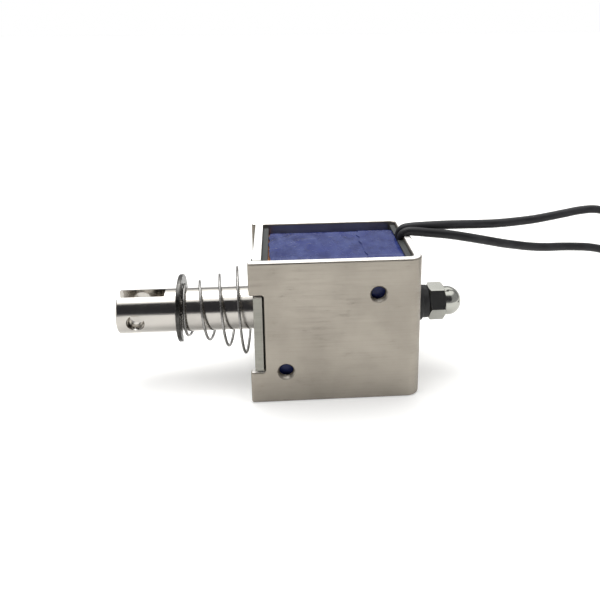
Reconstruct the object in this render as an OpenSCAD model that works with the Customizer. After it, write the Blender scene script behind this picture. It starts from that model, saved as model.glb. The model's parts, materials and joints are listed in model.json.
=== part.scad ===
// Open-frame push-pull solenoid, in millimetres, +Z up.
//
// A U-shaped steel frame is closed by a staked end plate and holds a bobbin with a taped coil.
// The plunger runs in a brass guide tube along X. A conical spring between the end plate and the
// retaining ring pushes it out towards -X, and the push rod carries a rubber bumper and a cap nut
// that stop it against the rear of the frame. It is drawn extended, as the spring leaves it.
// The origin is the centre of the frame's base, and the frame stands on the strip's lower edges.

/* [Frame] */
// Length of the side plates, along the plunger
frame_length = 39; // [36:0.5:60]
// Width over the two side plates
frame_width = 30; // [28:0.5:45]
// Height of the strip that the frame is bent from
frame_height = 34; // [31:0.5:50]
// Thickness of the strip
plate_t = 2; // [1.2:0.1:2.6]
// Inside radius of the two bends
bend_r = 1; // [0.4:0.1:2]

/* [End plate] */
// Thickness of the end plate
end_plate_t = 2; // [1.2:0.1:3]
// How far the end plate lies inside the ends of the side plates
end_recess = 1; // [0.5:0.1:2]
// Height of the tab that sits in each side plate's notch
tab_height = 18; // [8:0.5:22]
// Clearance between a tab and its notch
tab_gap = 0.3; // [0.1:0.05:0.5]
// How far the tab's end lies below the side plate's outer face
tab_inset = 0.1; // [0:0.05:0.4]

/* [Mounting holes] */
// Bore of the tapped holes in the front side plate
tap_bore = 3.3; // [2.5:0.1:4.2]
// Chamfer at each tapped hole's mouth
tap_chamfer = 0.3; // [0.1:0.05:0.5]
// Lower hole, from the open end of the side plate
hole_low_in = 8; // [7:0.5:12]
// Height of the lower hole
hole_low_z = 7.6; // [6:0.1:12]
// Upper hole, from the rear face
hole_high_in = 10; // [7:0.5:14]
// Height of the upper hole
hole_high_z = 25.8; // [20:0.1:27]

/* [Plunger] */
// Diameter of the plunger
plunger_d = 10.4; // [8:0.1:11]
// Travel from extended to pulled in
stroke = 10; // [4:0.5:11]
// Length from the retaining ring's groove to the clevis end
plunger_nose = 14.2; // [13:0.1:25]
// Width of the clevis slot
slot_w = 3.2; // [2:0.1:4]
// Depth of the clevis slot
slot_depth = 11.1; // [8:0.1:12]
// Bore of the cross hole through the two ears
cross_bore = 4.3; // [3:0.1:4.8]
// Cross hole, from the clevis end
cross_in = 4.5; // [3.5:0.1:6]
// How far the clevis is turned about the axis, in degrees
clevis_turn = 10; // [0:1:45]
// Length of the plunger's conical tip
tip_length = 4; // [2:0.1:6]
// Width of the flat shoulder round the tip's base
tip_shoulder = 0.8; // [0.6:0.05:1]
// Diameter of the flat on the tip
tip_flat = 6; // [5.6:0.1:6.4]

/* [Retaining ring] */
// Width of the groove in the plunger
groove_w = 1.2; // [1:0.05:1.6]
// Diameter at the bottom of the groove
groove_d = 8; // [6:0.1:9]
// Thickness of the ring
ring_t = 1; // [0.7:0.05:1.1]
// Outside diameter of the ring
ring_d = 16.2; // [15:0.1:18]
// How far the ring's back stands off centre, away from its mouth
ring_offset = 0.5; // [0:0.1:0.8]
// Width of the ring's mouth
ring_mouth = 7; // [6:0.1:8]
// Width of each of the three prongs that grip the groove
prong_w = 3.2; // [2:0.1:4]

/* [Return spring] */
// Wire diameter
spring_wire = 0.65; // [0.4:0.05:0.9]
// Mean diameter at the retaining ring
spring_small_d = 12.4; // [12:0.1:14]
// Mean diameter at the end plate
spring_large_d = 23; // [16:0.1:23.4]
// Open turns between the two closed ends
spring_turns = 3.4; // [2:0.1:5]
// Gap between the extended plunger's ring and the end plate's outer face
spring_room = 17.3; // [14:0.1:24]

/* [Push rod] */
// Diameter of the push rod
rod_d = 5; // [3:0.1:5.2]
// Length of the rod held in the plunger
rod_seat = 9; // [5:0.5:12]
// Length of the rubber bumper
bumper_length = 5.3; // [3:0.1:8]
// Diameter of the bumper's base, against the frame
bumper_base_d = 9.3; // [8.6:0.1:12]
// Diameter of the bumper's nose, against the nut
bumper_nose_d = 8.1; // [7:0.1:8.4]
// Length of the bumper's nose
bumper_nose = 1.6; // [1:0.1:2.4]
// Width of the cap nut across its flats
nut_flats = 8; // [7.4:0.1:10]
// Height of the nut's hexagon
nut_hex = 3.1; // [2:0.1:5]
// How far the nut's front flat faces upwards, in degrees
nut_turn = 25; // [0:1:59]
// Diameter of the nut's dome
dome_d = 6.7; // [6.2:0.1:7.4]
// Height of the dome above the hexagon
dome_h = 4.2; // [4:0.1:6]
// Height of the dome's straight foot
dome_foot = 1.4; // [0.5:0.1:2]

/* [Coil] */
// Length of the fixed core inside the guide tube
core_length = 14.3; // [10:0.1:18]
// Wall of the brass guide tube
tube_wall = 0.45; // [0.3:0.05:0.6]
// Wall of the bobbin's barrel
barrel_wall = 1; // [0.7:0.1:1.5]
// Thickness of the bobbin's flanges
flange_t = 1.4; // [0.8:0.1:2]
// Height of the frame's strip above and below the bobbin's flanges
flange_drop = 0.8; // [0.5:0.1:1.5]
// Corner radius of the flanges
flange_corner = 1; // [0.3:0.1:2]
// Corner radius of the taped coil
coil_corner = 4.5; // [3:0.1:6]
// Thickness of the tape round the winding
tape_t = 0.3; // [0.2:0.05:0.5]
// Thickness of the last layer of tape
overlap_t = 0.12; // [0.08:0.02:0.16]
// Length of the last layer, from the rear flange
overlap_length = 8.6; // [6:0.1:14]

/* [Leads] */
// Diameter of each lead over its insulation
lead_d = 2.1; // [1.6:0.1:2.2]
// Diameter of the tinned conductor
core_d = 0.9; // [0.5:0.1:1.2]
// Length of conductor stripped and tinned at each end
strip_length = 6; // [3:0.5:10]
// Length of each lead beyond the coil
lead_tail = 8; // [4:0.5:12]
// Thickness of the cable tie
tie_t = 0.4; // [0.3:0.05:0.6]
// Width of the cable tie
tie_w = 2.4; // [1.5:0.1:3.5]
// Mean diameter of the wound length of the leads
wound_d = 24; // [20:0.5:28]
// Height of the wound length
wound_height = 5.7; // [4.4:0.1:8]

/* [Hidden] */
$fn = 64;

// Clearances
running = 0.07;         // radial, plunger in its guide tube
rod_clear = 0.25;       // radial, push rod through the pole core
seat_gap = 0.02;        // between pieces that are pressed or stuck together
stop_gap = 0.2;         // bumper to frame when extended, and tip to core when pulled in
coil_clear = 0.3;       // taped coil to side plates, and below the flanges' edges
flange_clear = 0.2;     // flanges to side plates
ring_clear = 0.9;       // radial, inside of the retaining ring to the plunger
grip_clear = 0.05;      // radial, prongs to the bottom of the groove
tail_clear = 0.2;       // wound leads to a tail that leaves them
spring_gap = 0.03;      // spring's ends to the ring and the end plate
cut = 1;                // how far a cutting tool runs past the face

// Frame, measured from the origin
axis_z = frame_height / 2;
open_x = -frame_length / 2;
rear_x = frame_length / 2;
inner_rear_x = rear_x - plate_t;
inner_half = frame_width / 2 - plate_t;
end_out_x = open_x + end_recess;
end_in_x = end_out_x + end_plate_t;

// Core, tube and bobbin
spigot_wall = 1.2;
tube_bore = plunger_d + 2 * running;
tube_od = tube_bore + 2 * tube_wall;
barrel_bore = tube_od + 2 * seat_gap;
barrel_od = barrel_bore + 2 * barrel_wall;
core_d_out = tube_bore - 2 * seat_gap;
core_bore = rod_d + 2 * rod_clear;
core_spigot = core_bore + 2 * spigot_wall;
flange_height = frame_height - 2 * flange_drop;
flange_half = inner_half - flange_clear;
coil_front_x = end_in_x + seat_gap + flange_t;
coil_rear_x = inner_rear_x - seat_gap - flange_t;

// Taped coil, from outside to inside
coil_w = 2 * (inner_half - coil_clear);
coil_h = flange_height - 2 * coil_clear;
tape_w = coil_w - 2 * overlap_t;
tape_h = coil_h - 2 * overlap_t;
winding_w = tape_w - 2 * tape_t;
winding_h = tape_h - 2 * tape_t;
winding_top = axis_z + winding_h / 2;

// Plunger
ring_right_x = end_out_x - spring_room;
groove_x = ring_right_x - ring_t / 2;
clevis_x = groove_x - groove_w / 2 - plunger_nose;
core_face_x = inner_rear_x - core_length;
tip_x = core_face_x + tip_length - stroke - stop_gap;
tip_base_r = plunger_d / 2 - tip_shoulder;

// Push rod, bumper and nut
bumper_x = rear_x + stop_gap;
nut_x = bumper_x + bumper_length;
dome_x = nut_x + nut_hex;
thread_in_dome = 1.4;
rod_end_x = dome_x + thread_in_dome;
nut_corners = nut_flats / cos(30);

// Lead exit: a gap in the tape and a notch in the rear flange
exit_y = [0, 4.9];
exit_length = 3.6;
pocket_length = 8.2;
pocket_depth = 1.6;

// Free part of the leads, from the coil over the rear plate to the wound length. Each point is
// its distance behind the rear plate, its place across the frame and its height above the floor.
lead_run = 95.5;
routes_height = 34;     // frame height that the points are given for
function route(points) = [for (p = points)
    [rear_x + p[0], p[1], p[2] + (frame_height - routes_height) * min(1, 1 - p[0] / lead_run)]];
upper_route = route([
    [-5.9, 3.8, 32], [-4.3, 3.8, 33.7], [-2.5, 3.7, 35.1], [-0.1, 3.7, 35.6], [4.5, 4, 35.5],
    [9.5, 4.7, 35.2], [14.5, 5.6, 34.9], [19.5, 6.7, 34.5], [24.5, 8, 34.2], [29.5, 9.6, 34],
    [34.5, 11.3, 33.9], [39.5, 13.1, 34], [44.5, 14.9, 34.2], [49.5, 16.6, 34.2],
    [54.5, 18.1, 33.8], [59.5, 19.4, 32.6], [64, 20.3, 30.6], [68.3, 20.7, 27.9],
    [72.3, 20.7, 24.5], [75.7, 20.4, 20.7], [79, 19.9, 16.7], [82.5, 19.3, 12.9],
    [86.3, 18.7, 9.4], [90.5, 18.2, 6.8], [95.5, 18.05, 5.3]]);
lower_route = route([
    [-5.9, 1.1, 32], [-4.3, 1.1, 33.7], [-2.5, 1, 35.1], [-0.1, 1, 35.4], [4.5, 1.4, 34.6],
    [9.5, 2, 33.6], [14.5, 3, 32.4], [19.5, 4.4, 31], [24.5, 6, 29.5], [29, 7.8, 28.2],
    [33.5, 9.6, 27], [38.5, 11.5, 26], [43.5, 13.4, 25.3], [48.5, 15.2, 24.5],
    [53.5, 16.7, 23.6], [58.1, 17.8, 22.3], [63, 18.5, 20.5], [67.5, 18.7, 18.2],
    [72, 18.5, 15.5], [76.5, 18, 12.8], [80.9, 17.3, 10.2], [85.5, 16.6, 7.8], [90.5, 16.1, 6.1],
    [95.5, 15.95, 5.3]]);

// Wound part of both leads: two turns side by side, in layers, which the leads meet squarely
leads_y = 17;
wound_mean_r = wound_d / 2;
wound_at = [rear_x + lead_run, leads_y - wound_mean_r];
inner_turn_r = wound_mean_r - lead_d / 2;
outer_turn_r = wound_mean_r + lead_d / 2;
wound_out_r = wound_mean_r + lead_d;
// Where the inner and the outer turn leave the winding, in degrees
inner_leaves = 180;
outer_leaves = 198;
tie_angle = 20;

// ---- Shapes -------------------------------------------------------------------------------

// Cylinder along X from x0 to x1, on the plunger's axis
module rod(d, x0, x1) {
    translate([x0, 0, axis_z]) rotate([0, 90, 0]) cylinder(d = d, h = x1 - x0);
}

// Solid of revolution about the plunger's axis: profile points are [x, radius]
module turned(profile) {
    translate([0, 0, axis_z]) rotate([0, 90, 0])
        rotate_extrude() polygon([for (p = profile) [p[1], p[0]]]);
}

// Rectangle with round corners, centred, w along X and h along Y
module round_rect(w, h, r) {
    square([w - 2 * r, h], center = true);
    square([w, h - 2 * r], center = true);
    for (sx = [-1, 1], sy = [-1, 1])
        translate([sx * (w / 2 - r), sy * (h / 2 - r)]) circle(r);
}

// Slab standing across the axis from x0 to x1 with a rounded outline, w wide and h high
module slab(w, h, r, x0, x1) {
    translate([x0, 0, axis_z]) rotate([90, 0, 90]) linear_extrude(x1 - x0) round_rect(w, h, r);
}

// Plan of a U with rounded bends: closed towards +X, open towards -X
module u_plan(x0, x1, half, r) {
    translate([x0, -half]) square([x1 - r - x0, 2 * half]);
    translate([x0, -half + r]) square([x1 - x0, 2 * (half - r)]);
    for (s = [-1, 1]) translate([x1 - r, s * (half - r)]) circle(r);
}

// ---- Swept tubes --------------------------------------------------------------------------

function unit(v) = v / norm(v);
function along(path, i) =
    unit(path[min(i + 1, len(path) - 1)] - path[max(i - 1, 0)]);
function side_of(t) = unit(cross([0, 0, 1], t));

// One ring of points round path[i], square to the path
function ring_at(path, i, r, sides) =
    let (t = along(path, i), s = side_of(t), u = cross(t, s))
    [for (k = [0 : sides - 1]) let (a = 360 * (k + 0.5) / sides)
        path[i] + r * (cos(a) * s + sin(a) * u)];

// Skin over a list of rings, each with the same number of points
module skin(rings) {
    n = len(rings);
    m = len(rings[0]);
    points = [for (ring = rings) each ring];
    sides = [for (i = [0 : n - 2], k = [0 : m - 1])
        let (a = i * m + k, b = i * m + (k + 1) % m)
        each [[a, b, b + m], [a, b + m, a + m]]];
    first = [for (k = [m - 1 : -1 : 0]) k];
    last = [for (k = [0 : m - 1]) (n - 1) * m + k];
    polyhedron(points, concat([first], sides, [last]), convexity = 8);
}

module tube_along(path, d, sides) {
    skin([for (i = [0 : len(path) - 1]) ring_at(path, i, d / 2, sides)]);
}

// ---- Frame --------------------------------------------------------------------------------

module tapped_hole(x, z) {
    face_y = -frame_width / 2;
    translate([x, face_y - cut, z]) rotate([-90, 0, 0]) cylinder(d = tap_bore, h = plate_t + 2 * cut);
    translate([x, face_y, z]) rotate([-90, 0, 0])
        cylinder(d1 = tap_bore + 2 * tap_chamfer, d2 = tap_bore, h = tap_chamfer);
}

module frame() {
    notch_h = tab_height + 2 * tab_gap;
    color("silver") difference() {
        linear_extrude(frame_height) difference() {
            u_plan(open_x, rear_x, frame_width / 2, bend_r + plate_t);
            u_plan(open_x - cut, inner_rear_x, inner_half, bend_r);
        }
        translate([open_x - cut, -frame_width / 2 - cut, axis_z - notch_h / 2])
            cube([cut + end_recess + end_plate_t + tab_gap, frame_width + 2 * cut, notch_h]);
        tapped_hole(open_x + hole_low_in, hole_low_z);
        tapped_hole(rear_x - hole_high_in, hole_high_z);
        rod(core_spigot + 2 * seat_gap, inner_rear_x - cut, rear_x + cut);
    }
}

module end_plate() {
    plate_half = inner_half - seat_gap;
    tab_half = frame_width / 2 - tab_inset;
    color("lightgray") difference() {
        union() {
            translate([end_out_x, -plate_half, 0])
                cube([end_plate_t, 2 * plate_half, frame_height]);
            translate([end_out_x, -tab_half, axis_z - tab_height / 2])
                cube([end_plate_t, 2 * tab_half, tab_height]);
        }
        rod(tube_od + 2 * seat_gap, end_out_x - cut, end_in_x + cut);
    }
}

// ---- Magnetic core and coil ---------------------------------------------------------------

module guide_tube() {
    color("goldenrod") difference() {
        rod(tube_od, end_out_x, inner_rear_x - seat_gap);
        rod(tube_bore, end_out_x - cut, inner_rear_x + cut);
    }
}

// Fixed core: its spigot is riveted flush in the rear plate, and its face is a conical seat
module pole_core() {
    mouth_r = tip_base_r + stop_gap;
    flat_r = tip_flat / 2 + stop_gap;
    color("gray") difference() {
        union() {
            rod(core_d_out, core_face_x, inner_rear_x);
            rod(core_spigot, inner_rear_x - cut, rear_x);
        }
        turned([[core_face_x - cut, 0], [core_face_x - cut, mouth_r], [core_face_x, mouth_r],
                [core_face_x + tip_length, flat_r], [core_face_x + tip_length, 0]]);
        rod(core_bore, core_face_x - cut, rear_x + cut);
    }
}

module bobbin() {
    color("darkslategray") difference() {
        union() {
            rod(barrel_od, end_in_x + seat_gap, inner_rear_x - seat_gap);
            slab(2 * flange_half, flange_height, flange_corner, end_in_x + seat_gap, coil_front_x);
            intersection() {
                slab(2 * flange_half, flange_height, flange_corner, coil_rear_x,
                     inner_rear_x - seat_gap);
                linear_extrude(frame_height)
                    u_plan(end_in_x, inner_rear_x - seat_gap, flange_half, bend_r);
            }
        }
        rod(barrel_bore, end_in_x - cut, inner_rear_x + cut);
        // Notch that lets the two leads out over the rear plate
        translate([coil_rear_x - cut, exit_y[0], winding_top - pocket_depth])
            cube([flange_t + 2 * cut, exit_y[1] - exit_y[0], frame_height]);
    }
}

module winding() {
    color("peru") difference() {
        slab(winding_w, winding_h, coil_corner - tape_t - overlap_t, coil_front_x + seat_gap,
             coil_rear_x - seat_gap);
        rod(barrel_od + 2 * seat_gap, coil_front_x - cut, coil_rear_x + cut);
        translate([coil_rear_x - pocket_length, exit_y[0], winding_top - pocket_depth])
            cube([pocket_length + cut, exit_y[1] - exit_y[0], frame_height]);
    }
}

// End of the winding soldered to a lead, in the pocket under the tape
module solder_joint(route) {
    joint_d = 1.3;
    joint_length = 4.4;
    translate([route[0][0] - joint_length - coil_clear, route[0][1],
               winding_top - pocket_depth + joint_d / 2 + seat_gap])
        rotate([0, 90, 0]) cylinder(d = joint_d, h = joint_length);
}

module solder_joint_upper() {
    color("lightsteelblue") solder_joint(upper_route);
}

module solder_joint_lower() {
    color("lightsteelblue") solder_joint(lower_route);
}

// Ring of tape round the coil from x0 to x1, parted where the leads come out
module tape_ring(w, h, r, t, x0, x1) {
    difference() {
        slab(w, h, r, x0, x1);
        slab(w - 2 * t, h - 2 * t, r - t, x0 - cut, x1 + cut);
        translate([coil_rear_x - exit_length, exit_y[0], axis_z])
            cube([exit_length + cut, exit_y[1] - exit_y[0], frame_height]);
    }
}

module coil_tape() {
    color("royalblue")
        tape_ring(tape_w, tape_h, coil_corner - overlap_t, tape_t - seat_gap,
                  coil_front_x + seat_gap, coil_rear_x - seat_gap);
}

module tape_overlap() {
    color("mediumblue")
        tape_ring(coil_w, coil_h, coil_corner, overlap_t - seat_gap,
                  coil_rear_x - overlap_length, coil_rear_x - seat_gap);
}

// ---- Plunger ------------------------------------------------------------------------------

module plunger() {
    r = plunger_d / 2;
    edge = 0.3;
    color("gainsboro") difference() {
        turned([[clevis_x, 0], [clevis_x, r - edge], [clevis_x + edge, r],
                [groove_x - groove_w / 2, r], [groove_x - groove_w / 2, groove_d / 2],
                [groove_x + groove_w / 2, groove_d / 2], [groove_x + groove_w / 2, r],
                [tip_x - tip_length, r], [tip_x - tip_length, tip_base_r],
                [tip_x, tip_flat / 2], [tip_x, 0]]);
        translate([clevis_x, 0, axis_z]) rotate([clevis_turn, 0, 0]) {
            translate([-cut, -slot_w / 2, -plunger_d])
                cube([slot_depth + cut, slot_w, 2 * plunger_d]);
            translate([cross_in, -plunger_d, 0]) rotate([-90, 0, 0])
                cylinder(d = cross_bore, h = 2 * plunger_d);
        }
        rod(rod_d + 2 * seat_gap, tip_x - rod_seat, tip_x + cut);
    }
}

module push_rod() {
    color("silver") rod(rod_d, tip_x - rod_seat, rod_end_x);
}

// Spring-steel ring that snaps into the groove from below and grips it at three places
module retaining_ring() {
    inside_r = plunger_d / 2 + ring_clear;
    prong_angle = 118;      // from the back of the ring to each side prong
    mouth_depth = 2;        // how far above the ring's lowest point its mouth's plane lies
    root = 0.6;             // how far a prong's root runs into the ring
    color("dimgray") translate([ring_right_x - ring_t, 0, axis_z]) rotate([90, 0, 90])
        linear_extrude(ring_t) difference() {
            union() {
                difference() {
                    translate([0, ring_offset]) circle(d = ring_d);
                    circle(inside_r);
                }
                for (a = [0, -prong_angle, prong_angle]) rotate(a)
                    translate([-prong_w / 2, 0]) square([prong_w, inside_r + root]);
            }
            circle(groove_d / 2 + grip_clear);
            translate([-ring_mouth / 2, -ring_d]) square([ring_mouth, ring_d - mouth_depth]);
        }
}

// ---- Return spring ------------------------------------------------------------------------

spring_x0 = ring_right_x + spring_wire / 2 + spring_gap;
spring_x1 = end_out_x - spring_wire / 2 - spring_gap;
spring_start = -115;            // where the open turns begin, in degrees
closed_turns = 1;               // at each end
closed_pitch = spring_wire * 1.08;  // of the closed turns
spring_total = spring_turns + 2 * closed_turns;
spring_steps = 22;              // per turn
spring_sides = 8;
spring_crowding = 0.2;          // how much closer the wide turns lie
spring_flare = 1.25;            // how late the cone opens

// Share of the open length passed after a share t of the open turns
function open_share(t) = (1 + spring_crowding) * t - spring_crowding * t * t;
function spring_x(n) =
    n < closed_turns ? spring_x0 + closed_pitch * n
    : n > closed_turns + spring_turns ? spring_x1 - closed_pitch * (spring_total - n)
    : let (a = spring_x0 + closed_pitch * closed_turns, b = spring_x1 - closed_pitch * closed_turns)
      a + (b - a) * open_share((n - closed_turns) / spring_turns);
function spring_r(n) =
    let (t = min(1, max(0, (n - closed_turns) / spring_turns)))
    (spring_small_d + (spring_large_d - spring_small_d) * pow(t, spring_flare)) / 2;

module return_spring() {
    color("slategray") translate([0, 0, axis_z])
        skin([for (i = [0 : round(spring_total * spring_steps)])
            let (n = i / spring_steps, a = spring_start + 360 * (n - closed_turns),
                 x = spring_x(n), r = spring_r(n))
            [for (k = [0 : spring_sides - 1])
                let (b = -360 * k / spring_sides, q = r + spring_wire / 2 * cos(b))
                [x + spring_wire / 2 * sin(b), q * cos(a), q * sin(a)]]]);
}

// ---- Bumper and cap nut -------------------------------------------------------------------

module bumper() {
    r0 = rod_d / 2 + seat_gap;
    r1 = bumper_base_d / 2;
    r2 = bumper_nose_d / 2;
    soft = 0.4;
    step_x = nut_x - bumper_nose;
    color([0.1, 0.1, 0.1])
        turned([[bumper_x, r0], [bumper_x, r1 - soft], [bumper_x + soft, r1],
                [step_x - soft, r1], [step_x, r2], [nut_x - soft, r2], [nut_x, r2 - soft],
                [nut_x, r0]]);
}

module cap_nut() {
    chamfer_r = nut_flats / 2;
    outside_r = nut_corners / 2 + seat_gap;
    chamfer_angle = 30;
    fall = (outside_r - chamfer_r) * tan(chamfer_angle);
    round_r = dome_d / 2;
    rise = dome_h - dome_foot;
    color("whitesmoke") difference() {
        union() {
            intersection() {
                translate([nut_x, 0, axis_z]) rotate([0, 90, 0]) rotate(-nut_turn)
                    cylinder(d = nut_corners, h = nut_hex, $fn = 6);
                turned([[nut_x, 0], [nut_x, chamfer_r], [nut_x + fall, outside_r],
                        [dome_x - fall, outside_r], [dome_x, chamfer_r], [dome_x, 0]]);
            }
            turned(concat([[dome_x - cut, 0], [dome_x - cut, round_r]],
                [for (a = [0 : 10 : 90])
                    [dome_x + dome_foot + rise * sin(a), round_r * cos(a)]]));
        }
        rod(rod_d + 2 * seat_gap, nut_x - cut, rod_end_x + seat_gap);
    }
}

// ---- Leads --------------------------------------------------------------------------------

module lead_wire_upper() {
    color([0.08, 0.08, 0.09]) tube_along(upper_route, lead_d, 8);
}

module lead_wire_lower() {
    color([0.08, 0.08, 0.09]) tube_along(lower_route, lead_d, 8);
}

module lead_coil() {
    color([0.08, 0.08, 0.09]) translate([wound_at[0], wound_at[1], tie_t]) rotate_extrude()
        translate([wound_mean_r, wound_height / 2])
            round_rect(2 * lead_d, wound_height, lead_d / 2);
}

// Distance from where a turn of radius r leaves the winding to where the lead clears its outside
function clears(r) = sqrt(pow(wound_out_r, 2) - pow(r - lead_d / 2, 2)) + tail_clear;

// Straight piece from distance a to distance b along the tangent of a turn of radius r
module tangent_rod(r, angle, d, a, b) {
    translate([wound_at[0], wound_at[1], lead_d / 2]) rotate(angle) translate([r, -a, 0])
        rotate([90, 0, 0]) cylinder(d = d, h = b - a);
}

module lead_tail(r, angle) {
    color([0.08, 0.08, 0.09])
        tangent_rod(r, angle, lead_d, clears(r), clears(r) + lead_tail);
}

module lead_tail_upper() lead_tail(outer_turn_r, outer_leaves);
module lead_tail_lower() lead_tail(inner_turn_r, inner_leaves);

module tinned_end(r, angle) {
    color("lightgray")
        tangent_rod(r, angle, core_d, clears(r) + lead_tail, clears(r) + lead_tail + strip_length);
}

module tinned_end_upper() tinned_end(outer_turn_r, outer_leaves);
module tinned_end_lower() tinned_end(inner_turn_r, inner_leaves);

module cable_tie() {
    half_w = lead_d + seat_gap;
    tall = wound_height + 2 * seat_gap;
    sweep = tie_w / wound_mean_r * 180 / PI;
    head = [2, 3, 2.6];     // out from the strap, across it and up
    head_z = 1.4;
    head_root = 0.1;
    color([0.12, 0.12, 0.12]) translate([wound_at[0], wound_at[1], 0])
        rotate(tie_angle - sweep / 2) {
            rotate_extrude(angle = sweep) difference() {
                translate([wound_mean_r - half_w - tie_t, 0])
                    square([2 * (half_w + tie_t), tall + 2 * tie_t - seat_gap]);
                translate([wound_mean_r - half_w, tie_t - seat_gap])
                    square([2 * half_w, tall]);
            }
            rotate(sweep / 2)
                translate([wound_mean_r + half_w + tie_t - head_root, -head[1] / 2, head_z])
                    cube(head);
        }
}

// ---- Parts --------------------------------------------------------------------------------

frame();
end_plate();
guide_tube();
pole_core();
bobbin();
winding();
solder_joint_upper();
solder_joint_lower();
coil_tape();
tape_overlap();
plunger();
push_rod();
retaining_ring();
return_spring();
bumper();
cap_nut();
lead_wire_upper();
lead_wire_lower();
lead_coil();
lead_tail_upper();
lead_tail_lower();
tinned_end_upper();
tinned_end_lower();
cable_tie();
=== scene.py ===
"""Looks of a small open-frame push-pull solenoid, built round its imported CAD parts.

Metres, in the parts' own frame: the origin is the centre of the frame's base, +X runs along the
plunger towards the cap nut and +Z is up. Sizes are written in millimetres here, and become metres
where a mesh is made.
"""

import json
import math

import bmesh
import bpy
from mathutils import Matrix, Vector, noise


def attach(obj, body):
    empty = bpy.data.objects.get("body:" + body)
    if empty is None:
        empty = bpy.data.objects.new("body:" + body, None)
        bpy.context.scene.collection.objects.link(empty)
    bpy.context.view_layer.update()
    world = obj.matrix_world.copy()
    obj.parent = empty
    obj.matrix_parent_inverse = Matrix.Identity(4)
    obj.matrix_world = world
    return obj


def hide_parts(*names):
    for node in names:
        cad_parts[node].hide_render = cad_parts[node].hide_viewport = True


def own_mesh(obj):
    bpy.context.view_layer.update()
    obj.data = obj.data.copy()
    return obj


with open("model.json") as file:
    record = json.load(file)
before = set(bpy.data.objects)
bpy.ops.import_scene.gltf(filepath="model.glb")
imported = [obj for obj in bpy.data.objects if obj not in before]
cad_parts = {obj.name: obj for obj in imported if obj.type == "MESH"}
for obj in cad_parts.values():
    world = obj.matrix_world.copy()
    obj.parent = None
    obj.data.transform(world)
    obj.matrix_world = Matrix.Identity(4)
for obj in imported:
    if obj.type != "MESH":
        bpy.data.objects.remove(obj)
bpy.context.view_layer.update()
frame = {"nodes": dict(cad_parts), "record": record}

MM = 0.001
AXIS_Z = 17.0  # height of the plunger's axis
SEAT = 0.02  # between pieces that are pressed or stuck together
BEYOND = 1  # how far a cutting tool runs past the face

# Frame: a strip bent to a U that is closed towards +X
FRAME_X0, FRAME_X1 = -19.5, 19.5
FRAME_HALF = 15.0
FRAME_H = 34.0
PLATE = 2.0
BEND_R = 1.0
NOTCH_X1 = -16.2
NOTCH_H = 18.6
TAP_MINOR_R, TAP_MAJOR_R, TAP_PITCH = 1.65, 1.95, 0.7
TAPPED_HOLES = [(-11.5, 7.6), (9.5, 25.8)]
SPIGOT_R = 3.97

# Plunger, retaining ring's groove and return spring
PLUNGER_R = 5.2
CLEVIS_X, TIP_X = -51.1, -3.0
TIP_LENGTH, TIP_BASE_R, TIP_FLAT_R = 4.0, 4.4, 3.0
GROOVE_X, GROOVE_W, GROOVE_R = -36.3, 1.2, 4.0
SLOT_W, SLOT_DEPTH = 3.2, 11.1
CROSS_R, CROSS_IN = 2.15, 4.5
CLEVIS_TURN = math.radians(10)
SPRING_X0, SPRING_X1 = -35.445, -18.855
SPRING_WIRE = 0.65
SPRING_R0, SPRING_R1 = 6.2, 11.5
SPRING_TURNS, SPRING_START = 3.4, -115
SPRING_SMALL_END, SPRING_LARGE_END = 0.46, 0.3  # turns that lie flat at its ends

# Push rod's end: bumper and cap nut
ROD_R = 2.5
BUMPER_X0, BUMPER_X1 = 19.7, 23.9
BUMPER_R, BUMPER_NOSE_R, BUMPER_NOSE = 4.65, 4.05, 1.6
SEAM_LINE_X, SEAM_LINE_H = 21.35, 0.05  # line left by the bumper's mould
NUT_X0, NUT_X1 = 23.9, 27.8
NUT_FLATS, NUT_TURN = 8.0, 25
ROD_IN_DOME = 1.42
DOME_R, DOME_FOOT, DOME_H = 3.55, 1.1, 4.5

# Taped coil
TAPE_X0, TAPE_X1 = -15.06, 16.06
SEAM_X = 7.48
TAPE_HALF_W, TAPE_HALF_H, TAPE_CORNER = 12.58, 15.78, 4.38
LAYER = 0.12  # how much the last layer adds

# Leads
LEAD_R = 1.12
CORE_R = 0.45
STRIP = 6.0
SQUEEZED = (0.6, 0.6, 0.64, 0.76, 0.92)  # of the radius, in the notch between coil and rear plate
WOUND_AT = Vector((115.0, 5.0, 0.0))
UPPER_ROUTE = [
    (16.78, 3.8, 31.4), (16.78, 3.8, 33.2), (17.0, 3.8, 34.1), (17.6, 3.75, 34.75),
    (18.6, 3.7, 35.1), (20.5, 3.75, 35.25), (24, 4.0, 35.3),
    (29, 4.7, 35.2), (34, 5.6, 34.9), (39, 6.7, 34.5), (44, 8.0, 34.2), (49, 9.6, 34.0),
    (54, 11.3, 33.9), (59, 13.1, 34.0), (64, 14.9, 34.2), (69, 16.6, 34.4), (74, 18.1, 34.1),
    (79, 19.4, 32.6), (83.5, 20.3, 30.6), (87.8, 20.7, 27.9), (91.8, 20.7, 24.5),
    (95.2, 20.4, 20.7), (98.5, 19.9, 16.7), (102, 19.3, 12.9), (105.8, 18.7, 9.4),
    (110, 18.2, 6.8), (115, 18.05, 5.3),
]
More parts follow.
